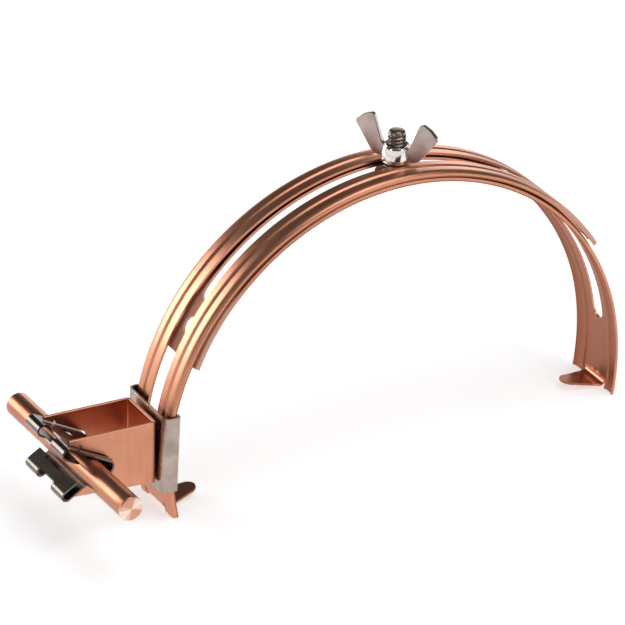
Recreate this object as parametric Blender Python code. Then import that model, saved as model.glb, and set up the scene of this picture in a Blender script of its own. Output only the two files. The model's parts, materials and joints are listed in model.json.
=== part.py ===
"""Roof conductor holder: two slotted copper strips clamped into a half-round ridge arch by a
wing nut, with a sliding bracket that carries a folded conductor holder and its spring clip.
Metres, +Z up, X across the ridge, Y along it. The part stands on the ends of both strips."""
import bmesh
import bpy
from math import acos, asin, atan2, ceil, cos, degrees, hypot, pi, radians, sin, sqrt, tan
from mathutils import Matrix, Vector

MM = 0.001
GAP = 0.3 * MM

# The two strips, rolled from the same blank
STRIP_HALF_WIDTH = 12.04 * MM
STRIP_SHEET = 0.9 * MM
EDGE_DROP = 0.95 * MM
EDGE_CURL = 1.44 * MM
GROOVE_CENTRE = 7.2 * MM
GROOVE_HALF_WIDTH = 1.6 * MM
GROOVE_DEPTH = 0.8 * MM
ARC_STEP = radians(3.6)

# Each strip lies on its own circle, in the X-Z plane
RIGHT_RADIUS = 78.85 * MM
STRIP_SPAN = radians(166.692)
NESTING = 1.55 * MM
RADIUS_CLEARANCE = 1.8 * MM
RIGHT_CENTRE_Z = 15.98 * MM
CLAMP_ANGLE = radians(86.1)

# Slots, holes and feet, measured along the strip from its foot
SLOT_WIDTH = 6.6 * MM
SLOT_START = 22.7 * MM
SLOT_END_MARGIN = 18.5 * MM
HOLE_RADIUS = 3.2 * MM
HOLE_END_MARGIN = 9.5 * MM
FOOT_LENGTH = 12.0 * MM
FOOT_LIFT = 0.12 * MM
FOOT_BEND_RADIUS = 1.2 * MM
FOOT_ROOT_HALF_WIDTH = 5.3 * MM
FOOT_TIP_HALF_WIDTH = 3.3 * MM
FOOT_CUT_LENGTH = 3.0 * MM
TOE_LENGTH = 38.0 * MM
TOE_RUN = 31.0 * MM
TOE_STEPS = 10
LEFT_TOE_IN = 1.4 * MM
RIGHT_TOE_IN = 0.3 * MM

# Clamp bolt and wing nut, M6
BOLT_RADIUS = 2.9 * MM
BOLT_HEAD_RADIUS = 6.5 * MM
BOLT_HEAD_HEIGHT = 3.0 * MM
BOLT_TOP_ABOVE_STRIP = 10.5 * MM
NECK_WIDTH = SLOT_WIDTH - 2 * GAP
NUT_BORE_RADIUS = BOLT_RADIUS + GAP
NUT_BASE_RADIUS = 4.9 * MM
NUT_TOP_RADIUS = 4.1 * MM
NUT_HEIGHT = 5.4 * MM
WING_ANGLE = radians(-58)
WING_THICKNESS = 1.9 * MM
WING_SPAN = 15.3 * MM
WING_TOP = 15.2 * MM

# Bracket that slides on the left strip
BRACKET_SHEET = 0.75 * MM
BRACKET_ANGLE = radians(175.3)
BRACKET_HEIGHT = 25.7 * MM
BRACKET_RISE = 2.85 * MM
BRACKET_SIDE_PLAY = 0.35 * MM
BRACKET_LIP = 2.3 * MM
BRACKET_BEND_RADIUS = 2.2 * MM
BRACKET_LIP_RADIUS = 1.0 * MM

# Folded conductor holder
BOX_SHEET = 1.0 * MM
BOX_DEPTH = 30.1 * MM
BOX_WIDTH = 19.12 * MM
BOX_HEIGHT = 21.1 * MM
BOX_BEND_RADIUS = 1.5 * MM
BOX_TILT = radians(2.9)
BOX_RISE = 0.4 * MM
BOX_TAPER = 1.5 * MM
RIVET_RADIUS = 2.0 * MM
RIVET_HEAD_RADIUS = 2.8 * MM
RIVET_SINK_RADIUS = 2.75 * MM

# Conductor and spring clip, the clip measured from the conductor's axis
ROD_RADIUS = 4.0 * MM
ROD_LENGTH = 77.8 * MM
ROD_SHIFT = -1.8 * MM
ROD_YAW = radians(1.2)
ROD_CHAMFER = 0.35 * MM
ROD_IN_BOX = (-9.85 * MM, 0.84 * MM)
CLIP_SHEET = 0.6 * MM
CLIP_HALF_WIDTH = 13.0 * MM
CLIP_SLOPE = radians(30)
MOUTH_REACH = 16.0 * MM
CLIP_REACH = ROD_RADIUS + 0.45 * MM + CLIP_SHEET / 2
CLIP_BACK = 7.8 * MM
HOOK_REACH = 11.35 * MM
HOOK_BEND_RADIUS = 1.74 * MM
HOOK_LIP_END = 4.6 * MM
LEVER_START = 1.2 * MM
LEVER_LENGTH = 7.0 * MM
LEVER_BEND_RADIUS = 1.5 * MM
LEVER_FLAP = 6.5 * MM
RECESS_HALF_WIDTH = 5.2 * MM
WINDOW_HALF_WIDTH = 4.7 * MM
SLOT_CLEARANCE = 0.3 * MM
CLIP_RADII = [1.9 * MM, 2.0 * MM, 2.0 * MM]
MOUTH_RADII = [1.8 * MM, 2.2 * MM, 1.5 * MM]
NOTCH_AT = -4.6 * MM
NOTCH_HALF_WIDTH = 0.6 * MM
NOTCH_DEPTH = 0.7 * MM
HOOK_WINDOW_DEPTH = 2.8 * MM
HOOK_WINDOW_LOW = 0.9 * MM
RECESS_DEPTH = 2.3 * MM
FLAP_STEP = 1.3 * MM
FLAP_STEP_HALF_WIDTH = 7.0 * MM
WINDOW_ALONG = (-3.2 * MM, -0.8 * MM)
WINDOW_ACROSS = (1.8 * MM, 5.8 * MM)
CUT_OVERRUN = 2.0 * MM


def plane_point(centre, radius, angle, y=0.0):
    """A point at this radius and angle about a centre in the X-Z plane."""
    return Vector((centre[0] + radius * cos(angle), y, centre[1] + radius * sin(angle)))


# The left strip is sprung a little wider than the right one and lies over it. The clamp
# holds the two circles in line at one angle.
STRIP_LENGTH = RIGHT_RADIUS * STRIP_SPAN
STRIP_TOP = EDGE_DROP + STRIP_SHEET
LEFT_RADIUS = RIGHT_RADIUS + STRIP_TOP + RADIUS_CLEARANCE
RIGHT_CENTRE = (0.0, RIGHT_CENTRE_Z)
CENTRE_SHIFT = RIGHT_RADIUS + NESTING - LEFT_RADIUS
LEFT_CENTRE = (
    RIGHT_CENTRE[0] + CENTRE_SHIFT * cos(CLAMP_ANGLE),
    RIGHT_CENTRE[1] + CENTRE_SHIFT * sin(CLAMP_ANGLE),
)


def rounded(points, radii, step=radians(18)):
    """A polyline with each inner corner replaced by an arc of its radius."""
    path = [Vector(points[0])]
    for before, corner, after, radius in zip(points, points[1:], points[2:], radii):
        corner = Vector(corner)
        way_in = (corner - Vector(before)).normalized()
        way_out = (Vector(after) - corner).normalized()
        turn = atan2(way_in.cross(way_out), way_in.dot(way_out))
        reach = radius * tan(abs(turn) / 2)
        side = 1.0 if turn > 0 else -1.0
        start = corner - way_in * reach
        centre = start + Vector((-way_in.y, way_in.x)) * radius * side
        count = max(2, ceil(abs(turn) / step))
        for k in range(count + 1):
            spoke = start - centre
            spoke.rotate(Matrix.Rotation(turn * k / count, 2))
            path.append(centre + spoke)
    path.append(Vector(points[-1]))
    return path


def offset_pair(path, thickness):
    """The two sides of a sheet whose middle line is the path."""
    left, right = [], []
    for k, point in enumerate(path):
        before = path[max(k - 1, 0)]
        after = path[min(k + 1, len(path) - 1)]
        way_in = (point - before).normalized() if k else (after - point).normalized()
        way_out = (after - point).normalized() if k < len(path) - 1 else way_in
        along = (way_in + way_out).normalized()
        side = Vector((-along.y, along.x)) * thickness / 2 / max(along.dot(way_in), 0.5)
        left.append(point + side)
        right.append(point - side)
    return left, right


def make_object(name, mesh_data):
    """A named object from a bmesh, its faces turned outward."""
    bmesh.ops.remove_doubles(mesh_data, verts=mesh_data.verts, dist=1e-7)
    bmesh.ops.recalc_face_normals(mesh_data, faces=mesh_data.faces)
    bmesh.ops.triangulate(mesh_data, faces=mesh_data.faces)
    mesh = bpy.data.meshes.new(name)
    mesh_data.to_mesh(mesh)
    mesh_data.free()
    result = bpy.data.objects.new(name, mesh)
    bpy.context.scene.collection.objects.link(result)
    return result


def sheet_solid(name, sides, rows, to_world):
    """A solid between two paired lines, repeated along rows. to_world(point, row, index)."""
    work = bmesh.new()
    grid = []
    for row in rows:
        grid.append([[work.verts.new(to_world(p, row, k)) for k, p in enumerate(s)] for s in sides])
    last = len(sides[0]) - 1
    for here, there in zip(grid, grid[1:]):
        for k in range(last):
            for side in (0, 1):
                corners = here[side][k], here[side][k + 1], there[side][k + 1], there[side][k]
                work.faces.new(corners)
        for k in (0, last):
            work.faces.new((here[0][k], here[1][k], there[1][k], there[0][k]))
    for row in (grid[0], grid[-1]):
        for k in range(last):
            work.faces.new((row[0][k], row[0][k + 1], row[1][k + 1], row[1][k]))
    return make_object(name, work)


def prism(name, outline, low, high, to_world):
    """A straight solid over a closed outline, between two heights."""
    work = bmesh.new()
    rings = [[work.verts.new(to_world(p, h)) for p in outline] for h in (low, high)]
    for k in range(len(outline)):
        n = (k + 1) % len(outline)
        work.faces.new((rings[0][k], rings[0][n], rings[1][n], rings[1][k]))
    for ring in rings:
        work.faces.new(ring)
    return make_object(name, work)


def turned(name, profile, base, axis, segments=32, closed=False):
    """A solid of revolution: profile lists radius and height along the axis from the base."""
    work = bmesh.new()
    turn = Vector((0, 0, 1)).rotation_difference(axis).to_matrix()
    rings = []
    for radius, height in profile:
        if radius < 1e-9:
            rings.append([work.verts.new(base + turn @ Vector((0, 0, height)))])
            continue
        ring = []
        for k in range(segments):
            a = 2 * pi * k / segments
            ring.append(work.verts.new(base + turn @ Vector((radius * cos(a), radius * sin(a), height))))
        rings.append(ring)
    pairs = list(zip(rings, rings[1:]))
    if closed:
        pairs.append((rings[-1], rings[0]))
    for low, high in pairs:
        for k in range(segments):
            n = (k + 1) % segments
            corners = [low[k % len(low)], low[n % len(low)], high[n % len(high)], high[k % len(high)]]
            unique = list(dict.fromkeys(corners))
            if len(unique) > 2:
                work.faces.new(unique)
    return make_object(name, work)


def combine(target, tool, operation):
    """Cuts the tool from the target or joins it on, and removes the tool."""
    step = target.modifiers.new("combine", "BOOLEAN")
    step.operation = operation
    step.solver = "EXACT"
    step.object = tool
    bpy.context.view_layer.update()
    finished = target.evaluated_get(bpy.context.evaluated_depsgraph_get())
    mesh = bpy.data.meshes.new_from_object(finished)
    target.modifiers.clear()
    old = target.data
    target.data = mesh
    mesh.name = target.name
    bpy.data.meshes.remove(old)
    bpy.data.objects.remove(tool)
    return target


def strip_section():
    """Outer and inner lines across a strip: flat raised top, a groove each side, curled edges."""
    half = [(0.0, EDGE_DROP)]
    for k in range(7):
        share = k / 6
        dip = GROOVE_DEPTH * (1 - cos(2 * pi * share)) / 2
        half.append((GROOVE_CENTRE + GROOVE_HALF_WIDTH * (2 * share - 1), EDGE_DROP - dip))
    for k in range(5):
        a = pi / 2 * k / 4
        half.append((STRIP_HALF_WIDTH - EDGE_CURL * (1 - sin(a)), EDGE_DROP * cos(a)))
    across = [(-y, n) for y, n in reversed(half[1:])] + half
    inner = [Vector(point) for point in across]
    outer = [p + Vector((0, STRIP_SHEET)) for p in inner]
    return outer, inner


def make_strip(name, centre, radius, side, toe_in):
    """One strip, formed flat and then rolled to its circle. side is -1 for the left leg.

    While flat, X is the length from the foot, Y is across and Z the height over the edges.
    """
    middle = radius + STRIP_SHEET / 2
    rows = [TOE_LENGTH * k / TOE_STEPS for k in range(TOE_STEPS)]
    rest = STRIP_LENGTH - TOE_LENGTH
    count = ceil(rest / middle / ARC_STEP)
    rows += [TOE_LENGTH + rest * k / count for k in range(count + 1)]
    strip = sheet_solid(name, strip_section(), rows, on_blank)

    # The slot, a hole near the free end and the room for the bent foot
    between = [(a + b) / 2 for a, b in zip(rows, rows[1:])]
    slot_end = STRIP_LENGTH - SLOT_END_MARGIN
    combine(strip, slot_tool(SLOT_START, slot_end, SLOT_WIDTH / 2, between), "DIFFERENCE")
    hole = STRIP_LENGTH - HOLE_END_MARGIN
    combine(strip, slot_tool(hole - HOLE_RADIUS, hole + HOLE_RADIUS, HOLE_RADIUS, []), "DIFFERENCE")
    outline = [(-2 * MM, -3 * MM), (FOOT_CUT_LENGTH, -3 * MM), (FOOT_CUT_LENGTH, 6 * MM), (-2 * MM, 6 * MM)]
    half = FOOT_ROOT_HALF_WIDTH
    room = prism("foot_room", outline, -half, half, lambda p, y: on_blank((y, p[1]), p[0]))
    combine(strip, room, "DIFFERENCE")
    combine(strip, bent_foot(), "UNION")

    # Rolling: lengths become angles, and the last stretch above the foot leans in a little
    foot = asin(centre[1] / (radius + STRIP_TOP))
    work = bmesh.new()
    work.from_mesh(strip.data)
    bmesh.ops.triangulate(work, faces=work.faces)
    for vertex in work.verts:
        length, y, height = vertex.co
        travel = -foot + length / middle
        share = min(max((TOE_LENGTH - length) / TOE_RUN, 0.0), 1.0)
        inward = toe_in * share * share * (3 - 2 * share)
        angle = travel if side > 0 else pi - travel
        vertex.co = plane_point(centre, radius + height - inward, angle, y)
    if work.calc_volume(signed=True) < 0:
        bmesh.ops.reverse_faces(work, faces=work.faces)
    work.to_mesh(strip.data)
    work.free()
    return strip


def on_blank(point, length, _=0):
    """A point of the flat blank from its place across, its height and its length from the foot."""
    return Vector((length, point[0], point[1]))


def slot_tool(start, end, half_width, between):
    """A cutter through the blank: a slot with round ends, or a hole. Its rows lie between the strip's."""
    ends = [pi / 2 * k / 6 for k in range(7)]
    lengths = [start + half_width * (1 - cos(a)) for a in ends]
    halves = [half_width * sin(a) for a in ends]
    straight = [x for x in between if start + half_width + MM < x < end - half_width - MM]
    lengths += straight
    halves += [half_width] * len(straight)
    closing = ends[::-1] if straight else ends[-2::-1]
    lengths += [end - half_width * (1 - cos(a)) for a in closing]
    halves += [half_width * sin(a) for a in closing]
    halves = [max(h, 0.02 * MM) for h in halves]
    low = [Vector((-h, -3 * MM)) for h in halves]
    high = [Vector((h, -3 * MM)) for h in halves]

    def place(point, depth, k):
        return on_blank((point[0], depth), lengths[k])

    return sheet_solid("slot_tool", (low, high), (-3 * MM, 5 * MM), place)


def bent_foot():
    """The tongue at the strip's end: out of the web, round the bend and inward to a round tip."""
    level = FOOT_LIFT + STRIP_SHEET / 2
    web = EDGE_DROP + STRIP_SHEET / 2
    overlap = FOOT_CUT_LENGTH + 0.3 * MM
    corner = (level, web)
    tip = (level, -FOOT_LENGTH)
    path = rounded([(overlap, web), corner, tip], [FOOT_BEND_RADIUS + STRIP_SHEET / 2])
    bend_end = path[-2]
    path.pop()
    run = -tip[1] + bend_end[1]
    widths = [FOOT_ROOT_HALF_WIDTH + 0.25 * MM] * len(path)
    round_start = run - FOOT_TIP_HALF_WIDTH
    for k in range(1, 5):
        share = k / 4
        path.append(Vector((level, bend_end[1] - round_start * share)))
        widths.append(FOOT_ROOT_HALF_WIDTH + (FOOT_TIP_HALF_WIDTH - FOOT_ROOT_HALF_WIDTH) * share)
    for k in range(1, 7):
        a = pi / 2 * k / 6
        path.append(Vector((level, bend_end[1] - round_start - FOOT_TIP_HALF_WIDTH * sin(a))))
        widths.append(max(FOOT_TIP_HALF_WIDTH * cos(a), 0.3 * MM))
    sheet = STRIP_SHEET - 0.1 * MM
    sides = offset_pair(path, sheet)

    def place(point, row, k):
        return on_blank((row * widths[k], point[1]), point[0])

    return sheet_solid("foot", sides, (-1, 1), place)


def make_bolt(clamp_base, axis):
    """Round-headed clamp bolt with a square neck that runs in both slots."""
    top = BOLT_TOP_ABOVE_STRIP + NESTING + STRIP_TOP
    head = EDGE_DROP - GROOVE_DEPTH - GAP
    profile = [(0, head - BOLT_HEAD_HEIGHT)]
    for k in range(1, 7):
        a = pi / 2 * k / 6
        profile.append((BOLT_HEAD_RADIUS * sin(a), head - 0.4 * MM - (BOLT_HEAD_HEIGHT - 0.4 * MM) * cos(a)))
    profile += [(BOLT_HEAD_RADIUS, head), (BOLT_RADIUS, head)]
    profile += [(BOLT_RADIUS, top - 0.9 * MM), (BOLT_RADIUS - 0.7 * MM, top - 0.15 * MM)]
    profile += [(BOLT_RADIUS - 1.2 * MM, top), (0, top)]
    bolt = turned("clamp_bolt", profile, clamp_base, axis)
    half = NECK_WIDTH / 2
    along = Vector((axis.z, 0, -axis.x))

    def place(point, height):
        return clamp_base + along * point[0] + Vector((0, point[1], 0)) + axis * height

    square = [(-half, -half), (half, -half), (half, half), (-half, half)]
    neck_top = NESTING + STRIP_TOP - 0.1 * MM
    neck = prism("neck", square, head - 0.3 * MM, neck_top, place)
    return combine(bolt, neck, "UNION")


def make_nut(nut_base, axis):
    """Wing nut: a coned hub with two flared, round-edged wings."""
    profile = [
        (NUT_BORE_RADIUS, 0),
        (NUT_BASE_RADIUS - 0.5 * MM, 0),
        (NUT_BASE_RADIUS, 0.5 * MM),
        (NUT_BASE_RADIUS, 1.2 * MM),
        (NUT_TOP_RADIUS + 0.2 * MM, NUT_HEIGHT - 0.6 * MM),
        (NUT_TOP_RADIUS - 0.3 * MM, NUT_HEIGHT),
        (NUT_BORE_RADIUS, NUT_HEIGHT),
    ]
    nut = turned("wing_nut", profile, nut_base, axis, closed=True)
    along = Vector((axis.z, 0, -axis.x))
    for turn in (WING_ANGLE, WING_ANGLE + pi):
        outward = along * cos(turn) + Vector((0, sin(turn), 0))
        combine(nut, make_wing(nut_base, axis, outward), "UNION")
    return nut


def make_wing(base, axis, outward):
    """One wing: a flared blade with a round top, thinner towards its tip."""
    inner = NUT_BORE_RADIUS + 0.25 * MM
    corners = [
        (inner, 0.6 * MM),
        (0.52 * WING_SPAN, 0.4 * MM),
        (WING_SPAN, 0.71 * WING_TOP),
        (0.57 * WING_SPAN, WING_TOP),
        (0.33 * WING_SPAN, 0.33 * WING_TOP),
        (inner, 0.28 * WING_TOP),
        (inner, 0.6 * MM),
    ]
    radii = [4.5 * MM, 2.8 * MM, 2.6 * MM, 4.0 * MM, 0.8 * MM]
    outline = rounded(corners, radii, radians(15))[:-1]
    across = axis.cross(outward)

    def place(point, half):
        taper = 1.0 - 0.25 * (point[1] / WING_TOP)
        return base + outward * point[0] + axis * point[1] + across * half * taper

    wing = prism("wing", outline, -WING_THICKNESS / 2, WING_THICKNESS / 2, place)
    work = bmesh.new()
    work.from_mesh(wing.data)
    bmesh.ops.dissolve_limit(work, angle_limit=radians(2), verts=work.verts, edges=work.edges)
    rim = [e for e in work.edges if len(e.link_faces) == 2 and e.calc_face_angle(0) > radians(60)]
    rim = [e for e in rim if max(((v.co - base).dot(outward)) for v in e.verts) > NUT_BASE_RADIUS]
    bmesh.ops.bevel(work, geom=rim, offset=0.45 * MM, segments=2, profile=0.5, affect="EDGES")
    bmesh.ops.triangulate(work, faces=[f for f in work.faces if len(f.verts) > 4])
    work.to_mesh(wing.data)
    work.free()
    return wing


def bracket_axes():
    """The bracket's outward and upward directions: flat sheet, square to one radius."""
    out = plane_point((0, 0), 1.0, BRACKET_ANGLE)
    return out, Vector((out.z, 0, -out.x))


def bracket_point(distance, rise, y=0.0):
    """A point at this distance from the left strip's centre along the bracket's outward line."""
    out, up = bracket_axes()
    return plane_point(LEFT_CENTRE, 0, 0) + out * distance + up * rise + Vector((0, y, 0))


def make_bracket():
    """Straight C-shaped bracket whose ears hook round both edges of the curved left strip."""
    plate = LEFT_RADIUS + STRIP_TOP + GAP + BRACKET_SHEET / 2
    top = BRACKET_RISE + BRACKET_HEIGHT / 2
    low = BRACKET_RISE - BRACKET_HEIGHT / 2
    drop = asin(max(abs(top), abs(low)) / LEFT_RADIUS)
    lip = LEFT_RADIUS * cos(drop) - LEFT_TOE_IN / 4 - GAP - BRACKET_SHEET / 2
    wide = STRIP_HALF_WIDTH + BRACKET_SIDE_PLAY + BRACKET_SHEET / 2
    tip = wide - BRACKET_LIP
    corners = [(-tip, lip), (-wide, lip), (-wide, plate), (wide, plate), (wide, lip), (tip, lip)]
    bend, lip_bend = BRACKET_BEND_RADIUS, BRACKET_LIP_RADIUS
    path = rounded(corners, [lip_bend, bend, bend, lip_bend], radians(23))

    def place(point, rise, _):
        return bracket_point(point[1], rise, point[0])

    bracket = sheet_solid("slide_bracket", offset_pair(path, BRACKET_SHEET), (low, top), place)
    base = bracket_point(plate - BRACKET_SHEET / 2, BRACKET_RISE)
    wide_end, narrow_end = RIVET_SINK_RADIUS + GAP, RIVET_RADIUS + GAP
    profile = [(0, -MM), (wide_end, -MM), (wide_end, 0), (narrow_end, BRACKET_SHEET), (narrow_end, 3 * MM), (0, 3 * MM)]
    combine(bracket, turned("hole", profile, base, bracket_axes()[0], 24), "DIFFERENCE")
    return bracket, plate + BRACKET_SHEET / 2


def drill(base, axis, radius, length):
    """A round cutter."""
    return turned("drill", [(0, 0), (radius, 0), (radius, length), (0, length)], base, axis, 24)


def make_box(back):
    """U-folded holder, open top and bottom, with a flared mouth in each side for the conductor."""
    right = Vector((cos(BOX_TILT), 0, -sin(BOX_TILT)))
    up = Vector((sin(BOX_TILT), 0, cos(BOX_TILT)))
    centre = back - right * BOX_DEPTH / 2 + up * BOX_RISE
    far = BOX_DEPTH / 2 - BOX_SHEET / 2
    wide = BOX_WIDTH / 2 - BOX_SHEET / 2
    corners = [(-BOX_DEPTH / 2, -wide), (far, -wide), (far, wide), (-BOX_DEPTH / 2, wide)]
    path = rounded(corners, [BOX_BEND_RADIUS] * 2)

    def place(point, height, _):
        if height < 0:
            height += BOX_TAPER * (0.5 - point[0] / BOX_DEPTH)
        return centre + right * point[0] + Vector((0, point[1], 0)) + up * height

    box = sheet_solid("holder_box", offset_pair(path, BOX_SHEET), (-BOX_HEIGHT / 2, BOX_HEIGHT / 2), place)
    rod = centre + right * ROD_IN_BOX[0] + up * ROD_IN_BOX[1]

    def around_rod(point, y):
        return rod + Vector((point[0], y, point[1]))

    combine(box, prism("mouth", mouth_outline(), -2 * BOX_WIDTH, 2 * BOX_WIDTH, around_rod), "DIFFERENCE")
    edge = CLIP_REACH + CLIP_SHEET / 2 + SLOT_CLEARANCE
    start, end = NOTCH_AT - NOTCH_HALF_WIDTH, NOTCH_AT + NOTCH_HALF_WIDTH
    low, high = edge - NOTCH_HALF_WIDTH, edge + NOTCH_DEPTH
    notch = [sloped(start, low), sloped(end, low), sloped(end, high), sloped(start, high)]
    combine(box, prism("notch", notch, -2 * BOX_WIDTH, 2 * BOX_WIDTH, around_rod), "DIFFERENCE")
    return box, rod


def sloped(along, above):
    """A point beside the conductor, along and above the clip's slope, as X and Z."""
    return (
        along * cos(CLIP_SLOPE) + above * sin(CLIP_SLOPE),
        -along * sin(CLIP_SLOPE) + above * cos(CLIP_SLOPE),
    )


def mouth_outline():
    """The mouth cut in each side of the box: the clip's own shape with clearance, open to the left."""
    room = CLIP_SHEET / 2 + SLOT_CLEARANCE
    high = CLIP_REACH + room
    back = CLIP_BACK + room
    low_corner = (back - high * sin(CLIP_SLOPE)) / cos(CLIP_SLOPE)
    turn = (-LEVER_START + room * tan(CLIP_SLOPE / 2), -high)
    far = MOUTH_REACH
    corners = [
        sloped(-MOUTH_REACH, high),
        sloped(back, high),
        (low_corner, -high),
        turn,
        (turn[0] - far * cos(CLIP_SLOPE), turn[1] - far * sin(CLIP_SLOPE)),
    ]
    return rounded(corners, MOUTH_RADII)


def make_clip(rod):
    """Spring clip bent from one sheet: hook over the conductor, back bend, run below, lever."""
    back_corner = (CLIP_BACK - CLIP_REACH * sin(CLIP_SLOPE)) / cos(CLIP_SLOPE)
    lower = CLIP_REACH - 2 * HOOK_BEND_RADIUS
    down = Vector((-cos(CLIP_SLOPE), -sin(CLIP_SLOPE)))
    over = Vector((-sin(CLIP_SLOPE), cos(CLIP_SLOPE)))
    lever_start = Vector((-LEVER_START, -CLIP_REACH))
    lever_end = lever_start + down * (LEVER_LENGTH + LEVER_BEND_RADIUS)
    lever_turn = lever_end + over * 2 * LEVER_BEND_RADIUS
    corners = [
        sloped(-HOOK_LIP_END, lower),
        sloped(-HOOK_REACH, lower),
        sloped(-HOOK_REACH, CLIP_REACH),
        sloped(CLIP_BACK, CLIP_REACH),
        (back_corner, -CLIP_REACH),
        lever_start,
        lever_end,
        lever_turn,
        lever_turn - down * LEVER_FLAP,
    ]
    bend = [HOOK_BEND_RADIUS] * 2 + CLIP_RADII + [LEVER_BEND_RADIUS] * 2
    path = rounded(corners, bend)

    def place(point, y, _):
        return Vector((point[0], y, point[1]))

    clip = sheet_solid("spring_clip", offset_pair(path, CLIP_SHEET), (-CLIP_HALF_WIDTH, CLIP_HALF_WIDTH), place)

    def around_rod(point, y):
        return Vector((point[0], y, point[1]))

    start, end = -HOOK_REACH - CUT_OVERRUN, -HOOK_REACH + HOOK_WINDOW_DEPTH
    low, high = lower - HOOK_WINDOW_LOW, CLIP_REACH + CUT_OVERRUN
    hook = [sloped(start, low), sloped(end, low), sloped(end, high), sloped(start, high)]
    combine(clip, prism("hook_window", hook, -WINDOW_HALF_WIDTH, WINDOW_HALF_WIDTH, around_rod), "DIFFERENCE")
    inner = lever_end - down * RECESS_DEPTH
    outer = lever_end + down * CUT_OVERRUN
    below, above = -over * CUT_OVERRUN, over * (2 * LEVER_BEND_RADIUS + CUT_OVERRUN)
    recess = [inner + below, outer + below, outer + above, inner + above]
    combine(clip, prism("recess", recess, -RECESS_HALF_WIDTH, RECESS_HALF_WIDTH, around_rod), "DIFFERENCE")
    flap = lever_turn - down * (LEVER_FLAP - FLAP_STEP)
    past = flap - down * (FLAP_STEP + CUT_OVERRUN)
    half = over * LEVER_BEND_RADIUS / 2
    step = [flap - half, past - half, past + half, flap + half]
    half_width = FLAP_STEP_HALF_WIDTH
    combine(clip, prism("flap_step", step, -half_width, half_width, around_rod), "DIFFERENCE")
    for side in (-1, 1):
        start, end = WINDOW_ALONG
        low, high = CLIP_REACH - CUT_OVERRUN, CLIP_REACH + CUT_OVERRUN
        window = [sloped(start, low), sloped(end, low), sloped(end, high), sloped(start, high)]
        ends = sorted(side * reach for reach in WINDOW_ACROSS)
        combine(clip, prism("window", window, ends[0], ends[1], around_rod), "DIFFERENCE")
    clip.data.transform(Matrix.Translation(rod))
    return clip


def make_rod(rod):
    """The round conductor lying in the clip, cut square with a small chamfer."""
    axis = Vector((sin(ROD_YAW), -cos(ROD_YAW), 0))
    base = rod + Vector((0, ROD_SHIFT, 0)) - axis * ROD_LENGTH / 2
    edge = ROD_RADIUS - ROD_CHAMFER
    profile = [
        (0, 0),
        (edge, 0),
        (ROD_RADIUS, ROD_CHAMFER),
        (ROD_RADIUS, ROD_LENGTH - ROD_CHAMFER),
        (edge, ROD_LENGTH),
        (0, ROD_LENGTH),
    ]
    return turned("conductor_rod", profile, base, axis, 48)


def make_rivet(plate_outer, back_gap, box):
    """Flat-headed rivet from the box into the bracket, closed flush there; drills the box for it."""
    out = bracket_axes()[0]
    low = plate_outer - BRACKET_SHEET
    high = plate_outer + back_gap + BOX_SHEET + 1.5 * GAP
    base = bracket_point(low, BRACKET_RISE)
    hole_base = bracket_point(plate_outer - 0.5 * MM, BRACKET_RISE)
    combine(box, drill(hole_base, out, RIVET_RADIUS + GAP, 3 * MM), "DIFFERENCE")
    top = high - low
    profile = [
        (0, 0),
        (RIVET_SINK_RADIUS, 0),
        (RIVET_RADIUS, BRACKET_SHEET),
        (RIVET_RADIUS, top),
        (RIVET_HEAD_RADIUS + 0.5 * MM, top),
        (RIVET_HEAD_RADIUS, top + 0.7 * MM),
        (RIVET_HEAD_RADIUS * 0.6, top + 1.1 * MM),
        (0, top + 1.2 * MM),
    ]
    return turned("holder_rivet", profile, base, out, 24)


def paint(obj, slot, colour, metallic, roughness):
    """Gives the object its own Principled material."""
    material = bpy.data.materials.new(slot)
    material.use_nodes = True
    shader = material.node_tree.nodes["Principled BSDF"]
    shader.inputs["Base Color"].default_value = (*colour, 1.0)
    shader.inputs["Metallic"].default_value = metallic
    shader.inputs["Roughness"].default_value = roughness
    obj.data.materials.clear()
    obj.data.materials.append(material)
    for face in obj.data.polygons:
        face.material_index = 0


def set_origin(obj, point):
    """Moves the object's origin to a point and keeps its shape where it is."""
    obj.data.transform(Matrix.Translation(-point))
    obj.location = point


def centre_on_floor(objects):
    """Moves everything so that the box round the part stands centred on the frame's origin."""
    corners = [o.matrix_world @ v.co for o in objects for v in o.data.vertices]
    low = [min(c[k] for c in corners) for k in range(3)]
    high = [max(c[k] for c in corners) for k in range(3)]
    shift = Vector((-(low[0] + high[0]) / 2, -(low[1] + high[1]) / 2, -low[2]))
    for obj in objects:
        obj.location += shift


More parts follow.
